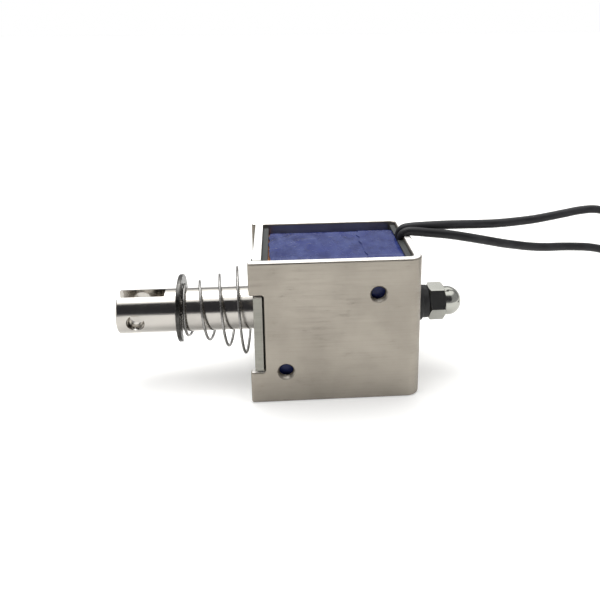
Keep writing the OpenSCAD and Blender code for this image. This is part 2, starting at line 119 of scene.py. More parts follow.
LOWER_ROUTE = [
    (16.78, 1.1, 31.4), (16.78, 1.1, 33.2), (17.0, 1.05, 34.1), (17.6, 1.0, 34.7),
    (18.6, 1.0, 35.0), (20.5, 1.1, 34.9), (24, 1.4, 34.4),
    (29, 2.0, 33.6), (34, 3.0, 32.4), (39, 4.4, 31.0), (44, 6.0, 29.5), (48.5, 7.8, 28.2),
    (53, 9.6, 27.0), (58, 11.5, 26.0), (63, 13.4, 25.3), (68, 15.2, 24.5), (73, 16.7, 23.6),
    (77.6, 17.8, 22.3), (82.5, 18.5, 20.5), (87, 18.7, 18.2), (91.5, 18.5, 15.5),
    (96, 18.0, 12.8), (100.4, 17.3, 10.2), (105, 16.6, 7.8), (110, 16.1, 6.1),
    (115, 15.95, 5.3),
]

# Camera
CAMERA_AT = Vector((-11.854, -151.554, 86.499)) * MM
CAMERA_YAW, CAMERA_PITCH, CAMERA_ROLL = (math.radians(a) for a in (4.0604, 14.789, -0.31))
CAMERA_LENS, CAMERA_SHIFT = 40.0765, (-0.0439, -0.1849)


# ---- Camera -------------------------------------------------------------------------------------


def make_camera():
    forward = Vector((
        math.sin(CAMERA_YAW) * math.cos(CAMERA_PITCH),
        math.cos(CAMERA_YAW) * math.cos(CAMERA_PITCH),
        -math.sin(CAMERA_PITCH),
    ))
    level = Vector((math.cos(CAMERA_YAW), -math.sin(CAMERA_YAW), 0))
    upright = level.cross(forward)
    right = math.cos(CAMERA_ROLL) * level + math.sin(CAMERA_ROLL) * upright
    up = -math.sin(CAMERA_ROLL) * level + math.cos(CAMERA_ROLL) * upright
    data = bpy.data.cameras.new("camera")
    data.sensor_width = 36
    data.lens = CAMERA_LENS
    data.shift_x, data.shift_y = CAMERA_SHIFT
    data.clip_start = 0.005
    camera = bpy.data.objects.new("camera", data)
    turned = Matrix((right, up, -forward)).transposed().to_4x4()
    camera.matrix_world = Matrix.Translation(CAMERA_AT) @ turned
    bpy.context.scene.collection.objects.link(camera)
    bpy.context.scene.camera = camera


# ---- Materials ----------------------------------------------------------------------------------


class Material:
    """A node material with a Principled shader, object coordinates and short ways to add detail."""

    def __init__(self, name, color, roughness, metallic=0.0, **sockets):
        self.material = bpy.data.materials.new(name)
        self.material.use_nodes = True
        self.tree = self.material.node_tree
        self.shader = self.tree.nodes["Principled BSDF"]
        self.set(self.shader, {"Base Color": (*color, 1), "Roughness": roughness,
                               "Metallic": metallic})
        self.set(self.shader, sockets)
        self.place = self.add("ShaderNodeTexCoord").outputs["Object"]
        self.material.diffuse_color = (*color, 1)
        self.bumps = []

    def set(self, node, values):
        for socket, value in values.items():
            if hasattr(value, "is_output"):
                self.tree.links.new(value, node.inputs[socket])
            else:
                node.inputs[socket].default_value = value

    def add(self, kind, inputs=None, **settings):
        node = self.tree.nodes.new(kind)
        for key, value in settings.items():
            setattr(node, key, value)
        self.set(node, inputs or {})
        return node

    def noise(self, size, detail=3.0, stretch=(1, 1, 1), roughness=0.55):
        """Noise from 0 to 1. Its blobs are about size millimetres across, times stretch on each axis."""
        scale = tuple(1 / (size * MM * s) for s in stretch)
        mapped = self.add("ShaderNodeMapping", {"Vector": self.place, "Scale": scale}).outputs[0]
        return self.add(
            "ShaderNodeTexNoise",
            {"Vector": mapped, "Scale": 1.0, "Detail": detail, "Roughness": roughness},
        ).outputs[0]

    def between(self, value, low, high, from_low=0.3, from_high=0.7):
        return self.add(
            "ShaderNodeMapRange",
            {"Value": value, "From Min": from_low, "From Max": from_high, "To Min": low,
             "To Max": high},
            interpolation_type="SMOOTHSTEP",
        ).outputs[0]

    def mix(self, factor, a, b):
        """Mixes two colours, each three numbers or a socket."""
        node = self.add("ShaderNodeMix", data_type="RGBA")
        self.set(node, {0: factor, 6: a if hasattr(a, "is_output") else (*a, 1),
                        7: b if hasattr(b, "is_output") else (*b, 1)})
        return node.outputs[2]

    def color(self, value):
        self.set(self.shader, {"Base Color": value})

    def roughness(self, value):
        self.set(self.shader, {"Roughness": value})

    def bump(self, height, strength, depth):
        """Adds relief of about depth millimetres."""
        inputs = {"Height": height, "Strength": strength, "Distance": depth * MM}
        if self.bumps:
            inputs["Normal"] = self.bumps[-1]
        self.bumps.append(self.add("ShaderNodeBump", inputs).outputs[0])
        self.set(self.shader, {"Normal": self.bumps[-1]})

    def math(self, operation, a, b=0.0):
        return self.add("ShaderNodeMath", {0: a, 1: b}, operation=operation).outputs[0]

    def axis(self, index):
        return self.add("ShaderNodeSeparateXYZ", {0: self.place}).outputs[index]


def plated_steel(name, light, dark, low=0.3, high=0.44):
    """Satin nickel on rolled strip: clouded tone, faint rolling lines, a few handling marks, and
    upward-facing faces made rough and painted near white as painted light from above."""
    m = Material(name, light, 0.35, 1.0)
    clouds = m.noise(14, 4)
    lines = m.noise(1.0, 2, stretch=(14, 1, 0.35))
    grain = m.noise(0.12, 2)
    marks = m.noise(3.2, 6, stretch=(1.5, 1, 0.6), roughness=0.7)
    tone = m.mix(m.between(clouds, 0, 1), dark, light)
    stain = tuple(0.72 * c for c in dark)
    face = m.mix(m.between(marks, 0, 0.5, 0.62, 0.74), tone, stain)
    normal = m.add("ShaderNodeTexCoord").outputs["Normal"]
    upward = m.add("ShaderNodeSeparateXYZ", {0: normal}).outputs[2]
    # Mask of upward-facing faces: their colour goes near white, a painted highlight for light from
    # above, and their roughness rises
    painted_light_rough_tops = m.between(upward, 0, 1, 0.72, 0.95)
    m.color(m.mix(painted_light_rough_tops, face, (0.93, 0.92, 0.9)))
    satin = m.math("ADD", m.between(lines, low, high, 0.35, 0.65),
                   m.between(marks, 0, 0.12, 0.5, 0.7))
    m.roughness(m.math("MAXIMUM", satin, m.math("MULTIPLY", painted_light_rough_tops, 0.75)))
    m.bump(grain, 0.25, 0.01)
    m.bump(lines, 0.1, 0.005)
    m.bump(clouds, 0.15, 0.05)
    return m.material


def bright_metal(name, color, rough=0.09, turned=True):
    """Polished metal with faint turning marks round the plunger's axis and a few rubbed places."""
    m = Material(name, color, rough, 1.0)
    rubbed = m.noise(4.5, 5, stretch=(2, 1, 1))
    m.color(m.mix(m.between(rubbed, 0, 1), tuple(0.86 * c for c in color), color))
    rings = m.noise(0.16, 2, stretch=(1, 60, 60)) if turned else m.noise(0.3, 3)
    m.roughness(m.math("ADD", m.between(rubbed, rough + 0.07, rough, 0.4, 0.65),
                       m.between(rings, 0, 0.05)))
    m.bump(rings, 0.12, 0.004)
    m.bump(m.noise(0.7, 4), 0.06, 0.006)
    return m.material


def drawn_wire(name, color):
    """Spring steel or wire with a thin oxide film."""
    m = Material(name, color, 0.26, 1.0)
    film = m.noise(1.8, 4)
    m.color(m.mix(m.between(film, 0, 1), tuple(0.6 * c for c in color), color))
    m.roughness(m.between(m.noise(0.5, 3), 0.2, 0.36))
    m.bump(m.noise(0.07, 2), 0.3, 0.004)
    return m.material


def blue_tape(name, color):
    """Glossy polyester film over the winding: deeper and paler patches at random, with fine stretch
    lines.
    """
    m = Material(name, color, 0.2, **{"IOR": 1.5, "Specular IOR Level": 0.2})
    deep = tuple(0.62 * c for c in color)
    pale = (color[0] * 1.55 + 0.01, color[1] * 1.5 + 0.01, color[2] * 1.16)
    m.color(m.mix(m.between(m.noise(2.6, 4, stretch=(1, 2, 1)), 0, 1), m.mix(
        m.between(m.noise(7.0, 2), 0, 1), deep, color), pale))
    m.roughness(m.between(m.noise(1.6, 4), 0.13, 0.3))
    turn_width = 0.42
    turns = m.add("ShaderNodeTexWave",
                  {"Vector": m.place, "Scale": 0.5 / (turn_width * MM) / math.pi * 0.5,
                   "Distortion": 1.2, "Detail": 2.0, "Detail Scale": 1.0},
                  wave_type="BANDS", bands_direction="X").outputs[1]
    m.bump(turns, 0.12, 0.02)
    m.bump(m.noise(1.1, 3, stretch=(2.2, 1, 1)), 0.25, 0.03)
    return m.material


def moulded(name, color, rough, grain=0.12, depth=0.012, specular=0.5):
    """Moulded plastic or rubber with a fine matte skin."""
    m = Material(name, color, rough, **{"Specular IOR Level": specular})
    patches = m.noise(3.5, 4)
    pale = tuple(1.5 * c + 0.004 for c in color)
    m.color(m.mix(m.between(patches, 0, 1), color, pale))
    m.roughness(m.between(patches, rough - 0.06, rough + 0.08))
    m.bump(m.noise(grain, 3), 0.35, depth)
    return m.material


def lead_skin(name, color):
    """Extruded PVC: satin, with faint drag lines and handling marks."""
    m = Material(name, color, 0.36, **{"Specular IOR Level": 0.22})
    marks = m.noise(2.4, 4, stretch=(3, 1, 1))
    m.color(m.mix(m.between(marks, 0, 1), color, tuple(1.9 * c + 0.004 for c in color)))
    m.roughness(m.between(marks, 0.3, 0.48))
    m.bump(m.noise(0.5, 3, stretch=(5, 1, 1)), 0.25, 0.012)
    return m.material


def enamelled_wire(name, color):
    """Side of a winding: rows of thin enamelled wire."""
    m = Material(name, color, 0.3, 1.0)
    row_width = 0.3
    rows = m.add("ShaderNodeTexWave",
                 {"Vector": m.place, "Scale": 0.5 / (row_width * MM) / math.pi, "Distortion": 0.6},
                 wave_type="BANDS", bands_direction="X").outputs[1]
    m.color(m.mix(rows, tuple(0.35 * c for c in color), color))
    m.roughness(m.between(m.noise(0.8, 3), 0.22, 0.4))
    m.bump(rows, 0.9, 0.1)
    return m.material


def soldered(name, color):
    m = Material(name, color, 0.28, 1.0)
    skin = m.noise(0.6, 4)
    m.color(m.mix(m.between(skin, 0, 1), tuple(0.7 * c for c in color), color))
    m.roughness(m.between(skin, 0.2, 0.42))
    m.bump(skin, 0.4, 0.03)
    return m.material


def make_materials():
    return {
        "plated_steel": plated_steel("plated_steel", (0.4, 0.365, 0.315), (0.33, 0.3, 0.258)),
        "plated_plate": plated_steel("plated_plate", (0.33, 0.325, 0.29), (0.27, 0.265, 0.235),
                                     0.3, 0.5),
        "brass": bright_metal("brass", (0.72, 0.53, 0.24), 0.2),
        "core_steel": bright_metal("core_steel", (0.52, 0.51, 0.49), 0.22),
        "bobbin_plastic": moulded("bobbin_plastic", (0.02, 0.023, 0.022), 0.42),
        "copper": enamelled_wire("copper", (0.62, 0.24, 0.09)),
        "solder": soldered("solder", (0.66, 0.67, 0.68)),
        "blue_tape": blue_tape("blue_tape", (0.022, 0.034, 0.17)),
        "bright_steel": bright_metal("bright_steel", (0.56, 0.535, 0.5), 0.08),
        "rod_steel": bright_metal("rod_steel", (0.6, 0.59, 0.57), 0.14),
        "spring_steel": drawn_wire("spring_steel", (0.09, 0.088, 0.084)),
        "spring_wire": drawn_wire("spring_wire", (0.36, 0.35, 0.34)),
        "black_rubber": moulded("black_rubber", (0.016, 0.016, 0.017), 0.55, 0.2, 0.02, 0.4),
        "bright_nickel": bright_metal("bright_nickel", (0.5, 0.5, 0.46), 0.1, False),
        "black_lead": lead_skin("black_lead", (0.014, 0.014, 0.016)),
        "black_nylon": moulded("black_nylon", (0.02, 0.02, 0.022), 0.38),
    }


# ---- Mesh helpers -------------------------------------------------------------------------------


def mesh_object(name, bm):
    bmesh.ops.recalc_face_normals(bm, faces=bm.faces)
    mesh = bpy.data.meshes.new(name)
    bm.to_mesh(mesh)
    bm.free()
    obj = bpy.data.objects.new(name, mesh)
    bpy.context.scene.collection.objects.link(obj)
    return obj


def apply(obj, kind, **settings):
    """Adds one modifier and bakes it into the mesh."""
    modifier = obj.modifiers.new(kind.lower(), kind)
    for key, value in settings.items():
        setattr(modifier, key, value)
    evaluated = obj.evaluated_get(bpy.context.evaluated_depsgraph_get())
    baked = bpy.data.meshes.new_from_object(evaluated)
    obj.modifiers.clear()
    old, obj.data = obj.data, baked
    bpy.data.meshes.remove(old)


def combine(obj, tool, operation="DIFFERENCE"):
    apply(obj, "BOOLEAN", object=tool, operation=operation, solver="EXACT")
    bpy.data.objects.remove(tool)


def soften(obj, width, segments=3, angle=35):
    """Rounds the sharp edges by width millimetres."""
    apply(obj, "BEVEL", width=width * MM, segments=segments, limit_method="ANGLE",
          angle_limit=math.radians(angle), miter_outer="MITER_ARC")


def shade(obj, angle=38):
    obj.data.shade_smooth()
    obj.data.set_sharp_from_angle(angle=math.radians(angle))
    apply(obj, "WEIGHTED_NORMAL", keep_sharp=True)


def dress(obj, slot, body, *nodes):
    """Gives a finished piece its material, its body and the CAD nodes that it stands for."""
    obj.data.materials.clear()
    obj.data.materials.append(materials[slot])
    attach(obj, body)
    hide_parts(*nodes)
    return obj


def revolve(name, profile, steps=144, closed=False):
    """Surface of revolution round the plunger's axis. Profile points are (x, radius)."""
    bm = bmesh.new()
    rings = []
    for x, r in profile:
        count = steps if r > 1e-4 else 1
        turns = [2 * math.pi * k / count for k in range(count)]
        rings.append([
            bm.verts.new(Vector((x, r * math.sin(a), AXIS_Z + r * math.cos(a))) * MM) for a in turns
        ])
    pairs = list(zip(rings, rings[1:])) + ([(rings[-1], rings[0])] if closed else [])
    for a, b in pairs:
        for k in range(steps):
            j = (k + 1) % steps
            corners = [a[k % len(a)], a[j % len(a)], b[j % len(b)], b[k % len(b)]]
            corners = list(dict.fromkeys(corners))
            if len(corners) > 2:
                bm.faces.new(corners)
    return mesh_object(name, bm)


def prism(name, outline, direction, start, end):
    """Solid with an outline swept along direction 'x', 'y' or 'z' from start to end.
    Outline points are the two other coordinates, in x, y, z order."""
    place = {
        "x": lambda p, t: (t, p[0], p[1]),
        "y": lambda p, t: (p[0], t, p[1]),
        "z": lambda p, t: (p[0], p[1], t),
    }[direction]
    bm = bmesh.new()
    ends = [[bm.verts.new(Vector(place(p, t)) * MM) for p in outline] for t in (start, end)]
    bm.faces.new(ends[0])
    bm.faces.new(ends[1])
    count = len(outline)
    for k in range(count):
        j = (k + 1) % count
        bm.faces.new((ends[0][k], ends[0][j], ends[1][j], ends[1][k]))
    return mesh_object(name, bm)


def rectangle(x0, x1, y0, y1):
    return [(x0, y0), (x1, y0), (x1, y1), (x0, y1)]


def arc(cx, cy, r, start, end, steps):
    angles = [math.radians(start + (end - start) * k / steps) for k in range(steps + 1)]
    return [(cx + r * math.cos(a), cy + r * math.sin(a)) for a in angles]


def circle(cx, cy, r, steps=96):
    return arc(cx, cy, r, 0, 360, steps)[:-1]


def copy_of(node, name):
    """Copy of a CAD node's mesh with its flat faces whole again, ready for rounding."""
    bm = bmesh.new()
    bm.from_mesh(frame["nodes"][node].data)
    bmesh.ops.remove_doubles(bm, verts=bm.verts, dist=0.001 * MM)
    bmesh.ops.dissolve_limit(bm, angle_limit=math.radians(0.6), verts=bm.verts, edges=bm.edges)
    return mesh_object(name, bm)


def swept(name, path, frames, sides, closed_ends=True):
    """Tube over path points. frames gives, for each point, two vectors that span its section."""
    bm = bmesh.new()
    rings = []
    for point, (a, b) in zip(path, frames):
        rings.append([
            bm.verts.new((point + math.cos(t) * a + math.sin(t) * b) * MM)
            for t in (2 * math.pi * k / sides for k in range(sides))
        ])
    for low, high in zip(rings, rings[1:]):
        for k in range(sides):
            j = (k + 1) % sides
            bm.faces.new((low[k], low[j], high[j], high[k]))
    if closed_ends:
        bm.faces.new(rings[0])
        bm.faces.new(rings[-1])
    return mesh_object(name, bm)


# ---- Frame and end plate ------------------------------------------------------------------------


def thread_cutter(x, z):
    """What a tap and a countersink take out of the front side plate."""
    bm = bmesh.new()
    around, along = 48, 40
    y0, y1 = -FRAME_HALF - 0.5, -FRAME_HALF + PLATE + 0.5
    rings = []
    for i in range(along + 1):
        y = y0 + (y1 - y0) * i / along
        ring = []
        for k in range(around):
            phase = (y / TAP_PITCH - k / around) % 1
            r = TAP_MINOR_R + (TAP_MAJOR_R - TAP_MINOR_R) * (1 - abs(2 * phase - 1))
            r = max(r, TAP_MAJOR_R + 0.1 - (y + FRAME_HALF) if y > -FRAME_HALF - 0.2 else r)
            a = 2 * math.pi * k / around
            ring.append(bm.verts.new(Vector((x + r * math.cos(a), y, z + r * math.sin(a))) * MM))
        rings.append(ring)
    for low, high in zip(rings, rings[1:]):
        for k in range(around):
            j = (k + 1) % around
            bm.faces.new((low[k], low[j], high[j], high[k]))
    bm.faces.new(rings[0])
    bm.faces.new(rings[-1])
    return mesh_object("thread_cutter", bm)


def make_frame():
    r_in, r_out = BEND_R, BEND_R + PLATE
    inner = FRAME_HALF - PLATE
    centre_x = FRAME_X1 - r_out
    outline = (
        [(FRAME_X0, -FRAME_HALF)]
        + arc(centre_x, -FRAME_HALF + r_out, r_out, -90, 0, 14)
        + arc(centre_x, FRAME_HALF - r_out, r_out, 0, 90, 14)
        + [(FRAME_X0, FRAME_HALF), (FRAME_X0, inner)]
        + arc(centre_x, inner - r_in, r_in, 90, 0, 8)
        + arc(centre_x, -inner + r_in, r_in, 0, -90, 8)
        + [(FRAME_X0, -inner)]
    )
    obj = prism("frame_strip", outline, "z", 0, FRAME_H)
    notch = rectangle(FRAME_X0 - 1, NOTCH_X1, AXIS_Z - NOTCH_H / 2, AXIS_Z + NOTCH_H / 2)
    combine(obj, prism("notches", notch, "y", -FRAME_HALF - 1, FRAME_HALF + 1))
    soften(obj, 0.5, 5)
    before, past, countersink = 16, 20, 0.25
    rear = revolve("rear_hole", [
        (before, 0), (before, SPIGOT_R), (FRAME_X1 - countersink, SPIGOT_R),
        (past, SPIGOT_R + 2 * countersink), (past, 0)], 96)
    combine(obj, rear)
    for x, z in TAPPED_HOLES:
        combine(obj, thread_cutter(x, z))
    shade(obj)
    return dress(obj, "plated_steel", "housing", "frame")


def make_end_plate():
    obj = copy_of("end_plate", "end_plate_blank")
    soften(obj, 0.14, 3)
    shade(obj)
    return dress(obj, "plated_plate", "housing", "end_plate")


# ---- Plunger, ring and spring -------------------------------------------------------------------


def turned_about_axis(obj, angle):
    pivot = Matrix.Translation((0, 0, AXIS_Z * MM))
    obj.data.transform(pivot @ Matrix.Rotation(angle, 4, "X") @ pivot.inverted())
    return obj


def make_plunger():
    r, edge = PLUNGER_R, 0.3
    g0, g1 = GROOVE_X - GROOVE_W / 2, GROOVE_X + GROOVE_W / 2
    shoulder = TIP_X - TIP_LENGTH
    profile = [
        (CLEVIS_X, 0), (CLEVIS_X, r - edge), (CLEVIS_X + edge, r),
        (g0, r), (g0, GROOVE_R), (g1, GROOVE_R), (g1, r),
        (shoulder, r), (shoulder, TIP_BASE_R), (TIP_X, TIP_FLAT_R), (TIP_X, 0),
    ]
    obj = revolve("plunger_rod", profile, 192)
    reach = 8
    section = rectangle(-SLOT_W / 2, SLOT_W / 2, AXIS_Z - reach, AXIS_Z + reach)
    slot = prism("slot", section, "x", CLEVIS_X - BEYOND, CLEVIS_X + SLOT_DEPTH)
    combine(obj, turned_about_axis(slot, CLEVIS_TURN))
    hole = prism("cross_hole", circle(CLEVIS_X + CROSS_IN, AXIS_Z, CROSS_R), "y", -8, 8)
    combine(obj, turned_about_axis(hole, CLEVIS_TURN))
    soften(obj, 0.1, 3, 30)
    shade(obj, 30)
    return dress(obj, "bright_steel", "plunger", "plunger")


def make_ring():
    obj = copy_of("retaining_ring", "retaining_clip")
    soften(obj, 0.16, 3)
    shade(obj)
    return dress(obj, "spring_steel", "spring_seat", "retaining_ring")


def spring_point(turn):
    """Place of the wire's centre, and its radial direction, some turns from the ring's end."""
    flat = SPRING_WIRE * 1.08
    open_x0, open_x1 = SPRING_X0 + flat, SPRING_X1 - flat
    opened = turn - SPRING_SMALL_END
    share = min(1.0, max(0.0, opened / SPRING_TURNS))
    if opened < 0:
        x = open_x0 + flat * opened / SPRING_SMALL_END
    elif opened > SPRING_TURNS:
        x = open_x1 + flat * (opened - SPRING_TURNS) / SPRING_LARGE_END
    else:
        x = open_x0 + (open_x1 - open_x0) * (1.2 * share - 0.2 * share * share)
    r = SPRING_R0 + (SPRING_R1 - SPRING_R0) * share ** 1.25
    a = math.radians(SPRING_START + 360 * opened)
    radial = Vector((0, math.cos(a), math.sin(a)))
    return Vector((x, 0, AXIS_Z)) + r * radial, radial


def make_spring():
    per_turn, turns = 60, SPRING_SMALL_END + SPRING_TURNS + SPRING_LARGE_END
    points = [spring_point(k / per_turn) for k in range(round(turns * per_turn) + 1)]
    path = [p for p, _ in points]
    frames = []
    for k, (_, radial) in enumerate(points):
        along = (path[min(k + 1, len(path) - 1)] - path[max(k - 1, 0)]).normalized()
        side = along.cross(radial).normalized()
        frames.append((radial * SPRING_WIRE / 2, side * SPRING_WIRE / 2))
    obj = swept("return_spring_wire", path, frames, 14)
    soften(obj, 0.05, 2, 60)
    shade(obj, 50)
    dress(obj, "spring_wire", "housing", "return_spring")
    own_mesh(obj)
    return obj


# ---- Bumper and cap nut -------------------------------------------------------------------------


def make_bumper():
    bore = ROD_R + SEAT
    step = BUMPER_X1 - BUMPER_NOSE
    lips = ((-0.1, 0), (-0.05, SEAM_LINE_H), (0.05, SEAM_LINE_H), (0.1, 0))
    profile = (
        [(BUMPER_X0, bore), (BUMPER_X0, BUMPER_R - 0.5)]
        + [(BUMPER_X0 + y, BUMPER_R - 0.5 + x) for x, y in arc(0, 0.5, 0.5, -60, 0, 4)]
        + [(SEAM_LINE_X + x, BUMPER_R + rise) for x, rise in lips]
        + [(step - 0.5, BUMPER_R), (step - 0.2, BUMPER_R - 0.1)]
        + [(step, BUMPER_R - 0.4), (step + 0.1, BUMPER_NOSE_R)]
        + [(BUMPER_X1 - 0.4, BUMPER_NOSE_R), (BUMPER_X1 - 0.12, BUMPER_NOSE_R - 0.1)]
        + [(BUMPER_X1, BUMPER_NOSE_R - 0.4)]
        + [(BUMPER_X1, bore)]
    )
    obj = revolve("rubber_bumper", profile, 128, closed=True)
    soften(obj, 0.05, 2, 40)
    shade(obj, 45)
    return dress(obj, "black_rubber", "plunger", "bumper")


def make_nut():
    corner = NUT_FLATS / 2 / math.cos(math.radians(30))
    outside = corner + SEAT
    fall = (outside - NUT_FLATS / 2) * math.tan(math.radians(30))
    turns = [math.radians(60 * k - NUT_TURN) for k in range(6)]
    hexagon = [(corner * math.sin(a), AXIS_Z - corner * math.cos(a)) for a in turns]
    obj = prism("domed_nut", hexagon, "x", NUT_X0, NUT_X1)
    chamfers = revolve("chamfers", [
        (NUT_X0, 0), (NUT_X0, NUT_FLATS / 2), (NUT_X0 + fall, outside), (NUT_X1 - fall, outside),
        (NUT_X1, NUT_FLATS / 2), (NUT_X1, 0)], 180)
    combine(obj, chamfers, "INTERSECT")
    rise = DOME_H - DOME_FOOT
    rounding = [math.radians(5 * k) for k in range(19)]
    dome = revolve("dome", [(NUT_X1 - 0.8, 0), (NUT_X1 - 0.8, DOME_R)] + [
        (NUT_X1 + DOME_FOOT + rise * math.sin(a), DOME_R * math.cos(a)) for a in rounding], 144)
    combine(obj, dome, "UNION")
    start, end, bore_r = NUT_X0 - BEYOND, NUT_X1 + ROD_IN_DOME, ROD_R + SEAT
    bore = revolve("nut_bore", [(start, 0), (start, bore_r), (end, bore_r), (end, 0)], 96)
    combine(obj, bore)
    soften(obj, 0.07, 3, 20)
    shade(obj, 30)
    return dress(obj, "bright_nickel", "plunger", "cap_nut")


# ---- Coil ---------------------------------------------------------------------------------------

# Folds in the tape on top of the coil: start and end, how wide each is and how far it stands up
FOLDS = [
    ((-15.2, 0.5), (-13.6, 3.4), 0.5, 0.16),
    ((-13.6, 3.4), (-9.0, 7.2), 0.45, 0.14),
    ((-14.9, -3.0), (-11.4, -2.2), 0.5, 0.12),
    ((-13.4, -3.2), (-14.2, -11.5), 0.55, 0.2),
    ((-11.6, -1.0), (-12.2, -6.5), 0.45, 0.1),
    ((-10.2, 0.1), (-6.7, 3.8), 0.5, 0.13),
    ((-6.7, 3.8), (-3.6, 4.6), 0.45, 0.1),
    ((-8.9, -1.8), (-9.6, -7.5), 0.4, 0.08),
    ((-5.4, 0.2), (-6.2, -3.8), 0.4, 0.13),
    ((-6.2, -3.8), (-5.4, -11.2), 0.42, 0.12),
    ((0.2, 4.6), (1.5, -3.5), 0.45, 0.14),
    ((1.5, -3.5), (2.3, -11.4), 0.4, 0.12),
    ((3.0, 5.2), (3.9, -3.7), 0.6, 0.15),
    ((3.9, -3.7), (5.6, -10.4), 0.55, 0.12),
    ((-3.0, 7.4), (2.0, 8.6), 0.5, 0.1),
]


def fold_height(x, y):
    """How far the folds lift the tape at a place on top of the coil, in millimetres."""
    here, height = Vector((x, y)), 0.0
    for start, end, width, rise in FOLDS:
        a, b = Vector(start), Vector(end)
        t = min(1.0, max(0.0, (here - a).dot(b - a) / (b - a).length_squared))
        wander = 0.35 * noise.noise(Vector((x * 0.5, y * 0.5, 3.1)))
        gap = (here - a.lerp(b, t)).length + wander
        height = max(height, rise * math.exp(-((gap / width) ** 2)))
    return height


def skin_path(half_w, half_h, corner, step):
    """Points (y, z) and outward directions round a rounded rectangle, from its top's middle."""
    out = []

    def straight(p, q, normal):
        count = max(1, round((Vector(q) - Vector(p)).length / step))
        out.extend((Vector(p).lerp(Vector(q), k / count), Vector(normal)) for k in range(count))

    def bend(cy, cz, start):
        count = max(4, round(corner * math.pi / 2 / step))
        for k in range(count):
            a = math.radians(start - 90 * k / count)
            n = Vector((math.cos(a), math.sin(a)))
            out.append((Vector((cy, cz)) + corner * n, n))

    w, h = half_w - corner, half_h - corner
    straight((0, half_h), (w, half_h), (0, 1))
    bend(w, h, 90)
    straight((half_w, h), (half_w, -h), (1, 0))
    bend(w, -h, 0)
    straight((w, -half_h), (-w, -half_h), (0, -1))
    bend(-w, -h, -90)
    straight((-half_w, -h), (-half_w, h), (-1, 0))
    bend(-w, h, 180)
    straight((-w, half_h), (0, half_h), (0, 1))
    return out


def taped(name, x0, x1, grow, lift, step, edge_wave):
    """A layer of tape round the coil from x0 to x1, lifted by lift(x, y, z, normal)."""
    around = skin_path(TAPE_HALF_W + grow, TAPE_HALF_H + grow, TAPE_CORNER + grow, step)
    columns = round((x1 - x0) / step)
    bm = bmesh.new()
    grid = []
    for i in range(columns + 1):
        row = []
        for k, (p, n) in enumerate(around):
            start = x0 + edge_wave * (0.5 + noise.noise(Vector((p.x * 0.35, p.y * 0.35, 7.7))))
            x = start + (x1 - start) * i / columns
            q = p + n * lift(x, p.x, p.y, n)
            row.append(bm.verts.new(Vector((x, q.x, AXIS_Z + q.y)) * MM))
        grid.append(row)
    count = len(around)
    for low, high in zip(grid, grid[1:]):
        for k in range(count):
            j = (k + 1) % count
            bm.faces.new((low[k], low[j], high[j], high[k]))
    bmesh.ops.delete(bm, geom=[v for v in bm.verts if not v.link_faces], context="VERTS")
    return mesh_object(name, bm)


def wrinkled(x, y, z, n):
    """The first layers: folds on top, soft ripples on the sides."""
    ripple = 0.05 * noise.noise(Vector((x * 0.35, y * 0.3, z * 0.3))) + 0.02 * noise.noise(
        Vector((x * 1.3, y * 0.9, z * 0.9)))
    ends = min(1.0, (x - TAPE_X0) / 1.2)
    top = max(0.0, n.y) ** 2
    return ripple - 0.03 + top * (fold_height(x, y) * (0.35 + 0.65 * ends) - 0.12 * (1 - ends))


def smooth_layer(x, y, z, _normal):
    """The last layer: taut, with a faint swell, and its rear edge drawn in."""
    swell = 0.02 * noise.noise(Vector((x * 0.25, y * 0.22, z * 0.2 + 5)))
    drawn = max(0.0, (x - (TAPE_X1 - 1.2)) / 1.2) ** 2
    return swell - 0.16 * drawn


def make_tape():
    step = 0.3
    base = taped("tape_wrap", TAPE_X0, TAPE_X1, 0, wrinkled, step, 0.5)
    apply(base, "SUBSURF", levels=1, render_levels=1)
    apply(base, "SOLIDIFY", thickness=0.05 * MM, offset=-1.0)
    shade(base, 60)
    dress(base, "blue_tape", "housing", "coil_tape")
    last = taped("tape_last_layer", SEAM_X - 0.7, TAPE_X1, LAYER, smooth_layer, step, 0.9)
    apply(last, "SOLIDIFY", thickness=0.07 * MM, offset=-1.0)
    shade(last, 60)
    dress(last, "blue_tape", "housing", "tape_overlap")


def make_bobbin():
    obj = copy_of("bobbin", "bobbin_moulding")
    soften(obj, 0.12, 2)
    shade(obj)
    return dress(obj, "bobbin_plastic", "housing", "bobbin")


# ---- Leads --------------------------------------------------------------------------------------


def wound_turns(radius, turns, z_top, z_low):
    """Points of a lead wound clockwise, seen from above, down from where it meets the coil."""
    count = round(turns * 14)
    out = []
    for k in range(1, count + 1):
        a = math.radians(90 - 360 * turns * k / count)
        z = z_top + (z_low - z_top) * k / count
        out.append(WOUND_AT + Vector((radius * math.cos(a), radius * math.sin(a), z)))
    return out


def lead_path(route, radius, turns, straight):
    """The lead's centre line, and the direction in which it ends."""
    z_top, z_low = route[-1][2], 1.45
    points = [Vector(p) for p in route] + wound_turns(radius, turns, z_top, z_low)
    a = math.radians(90 - 360 * turns)
    ahead = Vector((math.sin(a), -math.cos(a), 0))
    start = points[-1]
    for share, z in ((0.35, 1.25), (0.7, LEAD_R + 0.02), (1.0, LEAD_R)):
        p = start + ahead * straight * share
        points.append(Vector((p.x, p.y, z)))
    return points, ahead


def make_lead(name, points, nodes):
    curve = bpy.data.curves.new(name, "CURVE")
    curve.dimensions = "3D"
    curve.bevel_depth = LEAD_R * MM
    curve.bevel_resolution = 7
    curve.use_fill_caps = True
    curve.resolution_u = 10
    spline = curve.splines.new("BEZIER")
    spline.bezier_points.add(len(points) - 1)
    for knot, p in zip(spline.bezier_points, points):
        knot.co = p * MM
        knot.handle_left_type = knot.handle_right_type = "AUTO"
    for knot, share in zip(spline.bezier_points, SQUEEZED):
        knot.radius = share
    obj = bpy.data.objects.new(name, curve)
    bpy.context.scene.collection.objects.link(obj)
    curve.materials.append(materials["black_lead"])
    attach(obj, "housing")
    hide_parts(*nodes)
    return obj


